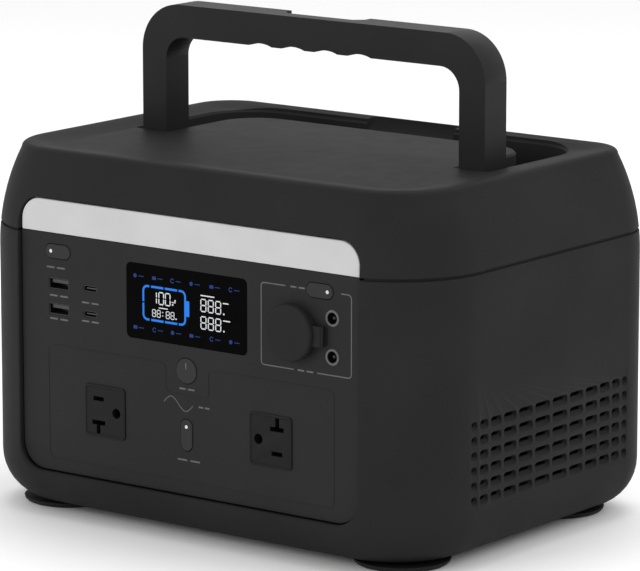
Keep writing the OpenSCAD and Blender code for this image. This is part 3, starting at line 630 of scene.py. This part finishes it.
def make_channel(shell):
    """Cuts the U-shaped channel for the folded handle, and the finger scoop behind it."""
    top = DECK_Z + 4 * MM
    well = bmesh.new()
    loft(well, [channel_outline(0, CHANNEL_FLOOR), channel_outline(0, DECK_Z - 3.4 * MM),
                channel_outline(1.2 * MM, DECK_Z - DISH), channel_outline(1.2 * MM, top)])
    holder = new_object("channel_cutter", well, MATERIALS["case_plastic"])
    core = bmesh.new()
    loft(core, [platform_outline(0, CHANNEL_FLOOR - 10 * MM), platform_outline(0, DECK_Z - 3.4 * MM),
                platform_outline(-1.2 * MM, DECK_Z - DISH), platform_outline(-1.2 * MM, top + 5 * MM)])
    cut(holder, core, "platform_core")
    cutter = bmesh.new()
    cutter.from_mesh(holder.data)
    bpy.data.objects.remove(holder)
    cut(shell, cutter, "channel")
    cutter = bmesh.new()
    centre_y = CHANNEL[1][1] - MM
    centre_z = DECK_Z - DISH + 4 * MM
    rings = []
    for x, r in ((-29, 9), (-25, 12), (0, 12), (25, 12), (29, 9)):
        rings.append([(x * MM, centre_y + r * MM * math.cos(a) * 0.75, centre_z + r * MM * math.sin(a))
                      for a in [2 * math.pi * i / 32 for i in range(32)]])
    loft(cutter, rings)
    cut(shell, cutter, "scoop_cutter")


def make_upper_shell():
    """Upper shell with the light bar's opening and the handle channel."""
    build = bmesh.new()
    loft(build, upper_rings())
    shell = piece("case_upper", build, "case_plastic", replaces=["upper_shell"])
    inside = bmesh.new()
    ceiling = CHANNEL_FLOOR - 2.5 * MM
    loft(inside, [outline(wall_inset(z) + WALL, z) for z in (DECK_LOW.z - 2 * MM, SEAM_Z + 8 * MM, ceiling)])
    cut(shell, inside, "inside_cutter")
    make_channel(shell)
    cutter = bmesh.new()
    prism(cutter, bar_mouth, FRONT_Y + 16 * MM, 1.2 * MM, 5 * MM)
    cut(shell, cutter, "bar_cutter")
    finish_shell(shell, 0.5 * MM)


# ---- front panel --------------------------------------------------------------------------------

def make_prints():
    """Thin outlines and plain marks on the front panel."""
    face = FACE_Y
    build = bmesh.new()
    left, right, top, bottom, r = 48.6 * MM, 105.4 * MM, SEAM_Z - 9 * MM, SEAM_Z - 51.1 * MM, 2 * MM
    first = [(64 * MM, top)] + arc(left + r, top - r, r, 90, 180) + arc(left + r, bottom + r, r, 180, 270)
    first.append((69.2 * MM, bottom))
    second = [(84 * MM, bottom)] + arc(right - r, bottom + r, r, -90, 0) + arc(right - r, top - r, r, 0, 90)
    second.append((99 * MM, top))
    for line in (first, second):
        stroke(build, line, 0.6 * MM, face + 0.2 * MM, face - 0.07 * MM)
    wave_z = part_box("ac_button")[1][2] + 6 * MM
    wave = [((-15 + 19 * t / 40) * MM, wave_z + 3.4 * MM * math.sin(2 * math.pi * t / 40)) for t in range(41)]
    stroke(build, wave, 0.45 * MM, face + 0.2 * MM, face - 0.06 * MM)
    marks = [(-87.3, SEAM_Z - 17.7 * MM, 13), (0.2, SEAM_Z - 70.7 * MM, 10.5), (1.2, SEAM_Z - 108 * MM, 15.5),
             (11.4, wave_z, 7.5), (71.7, top, 9.5), (76.6, bottom, 10.5)]
    for node, x in (("usb_a_ports", -85.4), ("usb_c_ports", -64)):
        low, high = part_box(node)
        for z in (low[2] - 2.4 * MM, high[2] - 9.2 * MM):
            marks.append((x, z, 13 if x < -80 else 12))
    for x, z, length in marks:
        for side in (-1, 1):
            plate(build, x * MM + side * length * MM * 0.27, z, length * MM * 0.42, 0.9 * MM, 0.4 * MM,
                  face + 0.2 * MM, face - 0.05 * MM, steps=2)
    piece("panel_prints", build, "print_ink")
    zone = bmesh.new()
    left, right, bottom, top = -93 * MM, 94.3 * MM, SEAM_Z - 119.6 * MM, SEAM_Z - 59 * MM
    dip = SEAM_Z - 74 * MM
    line = arc(left + 4 * MM, bottom + 4 * MM, 4 * MM, 180, 270)
    line += arc(right - 4 * MM, bottom + 4 * MM, 4 * MM, -90, 0)
    line += arc(right - 3 * MM, top - 3 * MM, 3 * MM, 0, 90) + arc(17 * MM, top - 3 * MM, 3 * MM, 90, 180)
    line += arc(11 * MM, dip + 3 * MM, 3 * MM, 0, -90) + arc(-11 * MM, dip + 3 * MM, 3 * MM, -90, -180)
    line += arc(-17 * MM, top - 3 * MM, 3 * MM, 0, 90) + arc(left + 3 * MM, top - 3 * MM, 3 * MM, 90, 180)
    stroke(zone, line, 0.8 * MM, face + 0.2 * MM, face - 0.16 * MM, closed=True)
    piece("ac_zone_rib", zone, "panel_plastic")


def make_button_marks():
    """Indicator dots on the three pills, and the power button's tick."""
    for node, dx, dz in (("light_button", -4.5, 0), ("dc_button", 5, 0), ("ac_button", 0, 4.4)):
        spot = centre(node)
        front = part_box(node)[0][1]
        build = bmesh.new()
        disc(build, spot.x + dx * MM, spot.z + dz * MM, 0.95 * MM, front + 0.3 * MM, front - 0.12 * MM,
             20, 0.1 * MM)
        piece(node + "_dot", build, "indicator", node)
    spot = centre("power_button")
    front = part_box("power_button")[0][1]
    build = bmesh.new()
    plate(build, spot.x, spot.z + 2.6 * MM, 0.7 * MM, 3.4 * MM, 0.3 * MM, front + 0.3 * MM,
          front - 0.1 * MM, steps=3)
    piece("power_button_tick", build, "print_ink", "power_button")


LIT_BACK = 0.05 * MM
LIT_FRONT = 0.04 * MM
SEGMENTS = {"0": "abcdef", "1": "bc", "8": "abcdefg"}


def digit(build, char, x, z, width, height, weight, y):
    """One seven-segment digit, its lower left corner at (x, z)."""
    half = height / 2
    spans = {"a": (x + width / 2, z + height, width, 0), "d": (x + width / 2, z, width, 0),
             "g": (x + width / 2, z + half, width, 0), "b": (x + width, z + half * 1.5, 0, half),
             "c": (x + width, z + half * 0.5, 0, half), "f": (x, z + half * 1.5, 0, half),
             "e": (x, z + half * 0.5, 0, half)}
    for name in SEGMENTS[char]:
        cx, cz, w, h = spans[name]
        long, tall = (w * 0.86, weight) if w else (weight, h * 0.84)
        plate(build, cx, cz, long, tall, weight * 0.45, y + LIT_BACK, y - LIT_FRONT, steps=2)


def lit_plate(build, dx, dz, width, height, radius, steps=2):
    """Small lit bar on the display's glass, placed in millimetres from its centre."""
    spot = centre("display_window")
    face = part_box("display_window")[0][1]
    plate(build, dx * MM, spot.z + dz * MM, width * MM, height * MM, radius * MM, face + LIT_BACK,
          face - LIT_FRONT, steps=steps)


def make_figures():
    """The display's white figures and bars, as (x, z) from its centre in millimetres."""
    mid = centre("display_window").z
    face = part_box("display_window")[0][1]
    build = bmesh.new()
    for i, char in enumerate("100"):
        x = (-22.6 + 4.3 * i + (0.4 if i else 0)) * MM
        digit(build, char, x, mid - 0.1 * MM, 3.1 * MM, 6.2 * MM, 0.6 * MM, face)
    for x in (-22.2, -19.1, -13.1, -10.0):
        digit(build, "8", x * MM, mid - 6.9 * MM, 2.1 * MM, 3.6 * MM, 0.42 * MM, face)
    for dz in (-5.9, -4.1):
        disc(build, -15.4 * MM, mid + dz * MM, 0.32 * MM, face + LIT_BACK, face - LIT_FRONT, 10)
    for dz in (-0.3, -9.3):
        for i in range(3):
            digit(build, "8", (9.7 + 4.8 * i) * MM, mid + dz * MM, 3.3 * MM, 6.3 * MM, 0.6 * MM, face)
    bars = [(-8.2, 1.9, 2.6, 0.45), (-8.8, 0.7, 0.9, 0.9), (-7.2, 2.9, 0.9, 0.9), (14, 7.9, 9, 0.6),
            (25.8, 5.5, 3.6, 0.6), (24.6, -0.1, 0.9, 0.9), (26.4, -3.5, 4.6, 0.6), (24.6, -9, 0.9, 0.9),
            (-15, -2, 6, 0.5), (-6.6, -6.5, 0.8, 0.7)]
    for dx, dz, width, height in bars:
        lit_plate(build, dx, dz, width, height, 0.2)
    piece("display_figures", build, "display_white")


def make_battery_symbol():
    """Blue battery outline, broken into dashes, with its terminal."""
    mid = centre("display_window").z
    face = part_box("display_window")[0][1]
    weight = 1.15 * MM
    build = bmesh.new()
    left, right, low, high, r = -28.2 * MM, -0.6 * MM, mid - 8.9 * MM, mid + 8.5 * MM, 2.6 * MM
    near, far = -24.2 * MM, -4.8 * MM
    lines = [[(left, mid - 0.5 * MM)] + arc(left + r, low + r, r, 180, 270) + [(near, low)],
             [(near, high)] + arc(left + r, high - r, r, 90, 180) + [(left, mid + 0.3 * MM)],
             [(far, low)] + arc(right - r, low + r, r, -90, 0) + arc(right - r, high - r, r, 0, 90)
             + [(far, high)]]
    for start, end in ((-23, -14.9), (-13.9, -5.8)):
        for z in (low, high):
            lines.append([(start * MM, z), (end * MM, z)])
    for line in lines:
        stroke(build, line, weight, face + LIT_BACK, face - LIT_FRONT)
    lit_plate(build, 1, -0.3, 2.2, 8.2, 0.5, steps=3)
    piece("display_battery", build, "display_blue")


def make_display_symbols():
    """Two rows of dim symbols, each with a short bar beside it."""
    mid = centre("display_window").z
    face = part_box("display_window")[0][1]
    build = bmesh.new()
    for row, dz in enumerate((13.1, -13.9)):
        for i, dx in enumerate((-33.6, -21, -9, 3.4, 16.6, 29)):
            z = mid + dz * MM
            kind = (i + row) % 3
            if kind == 0:
                disc(build, dx * MM, z, 1.1 * MM, face + LIT_BACK, face - LIT_FRONT, 16)
            elif kind == 1:
                lit_plate(build, dx, dz, 2.6, 1.8, 0.4, steps=3)
            else:
                stroke(build, arc(dx * MM, z, 1.1 * MM, 30, 330), 0.5 * MM, face + LIT_BACK, face - LIT_FRONT)
            lit_plate(build, dx + 4, dz, 3.4, 0.4, 0.15)
    piece("display_symbols", build, "display_dim")


def make_jack_collars():
    """Collars round the DC jacks, with their centre pins."""
    low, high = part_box("dc_jacks")
    x = (low[0] + high[0]) / 2
    build = bmesh.new()
    for z in (low[2] + 4.8 * MM, high[2] - 4.8 * MM):
        rings = []
        for r, y in ((3.0, 0.4), (3.0, -0.15), (3.3, -0.42), (3.9, -0.42), (4.25, -0.1), (4.25, 0.4)):
            rings.append([(x + r * MM * math.cos(a), FACE_Y + y * MM, z + r * MM * math.sin(a))
                          for a in [2 * math.pi * i / 40 for i in range(40)]])
        loft(build, rings + [rings[0]], False, False)
        disc(build, x, z, 0.55 * MM, FACE_Y + 6 * MM, FACE_Y + 1.2 * MM, 16, 0.4 * MM)
    bmesh.ops.remove_doubles(build, verts=build.verts, dist=1e-6)
    piece("jack_collars", build, "collar_plastic")


def make_outlet_rims():
    """Raised frame round each outlet's face."""
    for node in ("ac_outlet_left", "ac_outlet_right"):
        spot = centre(node)
        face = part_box(node)[0][1]
        build = bmesh.new()
        rings = []
        for grow, y in ((0.2, 0.5), (0.2, -0.2), (-0.15, -0.35), (-0.9, -0.35), (-1.3, 0.1), (-1.3, 0.5)):
            side = (27 + 2 * grow) * MM
            shape = rounded(side, side, (2.2 + grow) * MM)
            rings.append(standing(shape, spot.x, face + y * MM, spot.z))
        loft(build, rings + [rings[0]], False, False)
        bmesh.ops.remove_doubles(build, verts=build.verts, dist=1e-6)
        piece(node + "_rim", build, "black_moulding")


def soften_nodes():
    """Rounded edges on the CAD nodes that stay in sight, each with its width in millimetres."""
    widths = {"handle": 1.9, "front_panel": 0.25, "light_bar": 0.7, "power_button": 0.35, "ac_button": 0.5,
              "dc_button": 0.5, "light_button": 0.5, "car_socket_cap": 0.4, "ac_outlet_left": 0.25,
              "ac_outlet_right": 0.25, "input_panel": 0.4, "feet": 0.3, "breaker_button": 0.4,
              "dc_inlet": 0.3, "ac_inlet": 0.3, "car_socket": 0.3, "display_window": 0.15}
    for node, width in widths.items():
        soften(node, width * MM)


def hinge_place(name):
    """Where a joint of the record stands."""
    for joint in frame["record"]["behaviour"]["joints"]:
        if joint["name"] == name:
            return Vector(joint["pos_m"])
    raise ValueError(name)


make_camera()
make_stage()
MATERIALS = make_materials()
paint_frame(MATERIALS)

PANEL_HALF = 110.3 * MM
FACE_Y = FRONT_Y + 4.25 * MM
BAR_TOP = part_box("light_bar")[1][2] - 1.5 * MM
HANDLE_LOW, HANDLE_HIGH = [Vector(v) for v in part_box("handle")]
PIVOT = hinge_place("handle_fold")
REACH = HANDLE_HIGH.z - PIVOT.z
LEG = 17.5 * MM
CHANNEL_HALF = HANDLE_HIGH.x + 2.8 * MM
CHANNEL = ((-CHANNEL_HALF, HANDLE_LOW.y - MM), (CHANNEL_HALF, PIVOT.y + REACH + MM))
CHANNEL_FLOOR = HANDLE_LOW.z - 1.3 * MM
PLATFORM_HALF = HANDLE_HIGH.x - LEG
PLATFORM_BACK = PIVOT.y + REACH - LEG - MM

make_lower_shell()
make_upper_shell()
make_prints()
make_button_marks()
make_figures()
make_battery_symbol()
make_display_symbols()
make_jack_collars()
make_outlet_rims()
soften_nodes()
